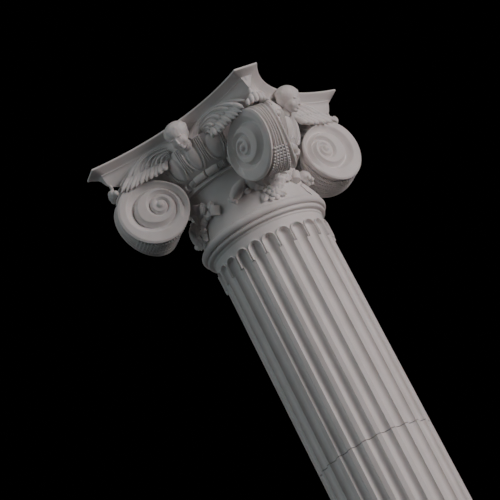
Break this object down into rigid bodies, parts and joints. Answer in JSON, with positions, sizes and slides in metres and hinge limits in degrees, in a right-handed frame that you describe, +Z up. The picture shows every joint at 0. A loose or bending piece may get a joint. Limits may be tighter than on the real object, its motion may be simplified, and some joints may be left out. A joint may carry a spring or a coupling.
{
  "type": "ionic column scale model",
  "caption": "Free-standing Ionic column model with winged heads, diagonal volutes, garlands, fluted shaft and moulded base.",
  "frame": {"origin": "middle of the plinth's underside", "axes": "+Z up along the column's axis, +X and +Y square to two faces of the abacus and the plinth"},
  "size_m": [0.095, 0.095, 0.4845],
  "materials": {
    "white_print": "matte"
  },
  "bodies": {
    "root": {"capital_section": "white_print", "shaft_section": "white_print", "base_section": "white_print"}
  },
  "joints": []
}
